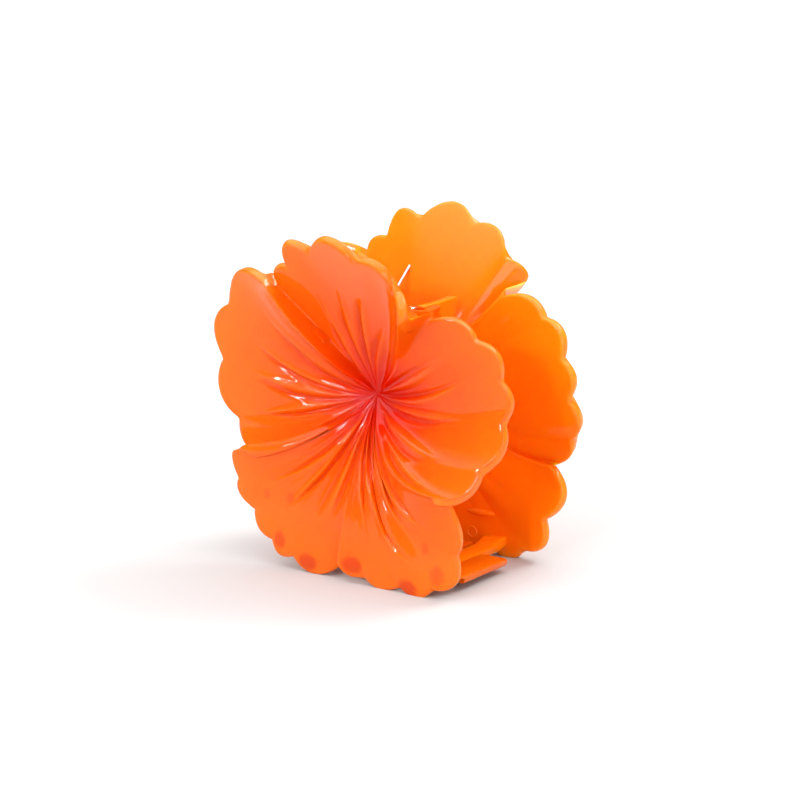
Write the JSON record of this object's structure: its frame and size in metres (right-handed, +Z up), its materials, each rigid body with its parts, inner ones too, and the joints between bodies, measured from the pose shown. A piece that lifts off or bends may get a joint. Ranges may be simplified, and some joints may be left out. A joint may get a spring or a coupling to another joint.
{
  "type": "hair claw clip",
  "caption": "Sprung hair claw clip in glossy plastic whose two hinged halves are each a hibiscus blossom with scalloped petals, radiating veins and interleaving claw fingers.",
  "frame": {"origin": "middle of the bounding box on the plane that the petal rims stand on", "axes": "X along the hinge pin, the front flower faces -Y and the back flower faces +Y, Z up from the claw fingers to the hinge and the top petals"},
  "size_m": [0.0898, 0.0586, 0.0897],
  "materials": {
    "petals_front": "glossy, slightly translucent orange, red towards the throat",
    "petals_back": "glossy, slightly translucent orange, red towards the throat",
    "pin": "plated steel pin",
    "spring_wire": "bright drawn spring wire"
  },
  "bodies": {
    "back": {"back_half": "petals_back", "hinge_pin": "pin", "spring": "spring_wire"},
    "front": {"front_half": "petals_front"}
  },
  "joints": [
    {"name": "hinge", "type": "hinge", "parent": "back", "child": "front", "pos_m": [0, 0, 0.0637], "axis": [-1, 0, 0], "range_deg": [0, 45], "stiffness_Nm_per_rad": 0.25, "springref_deg": -28.65, "deforming": ["spring"]}
  ]
}
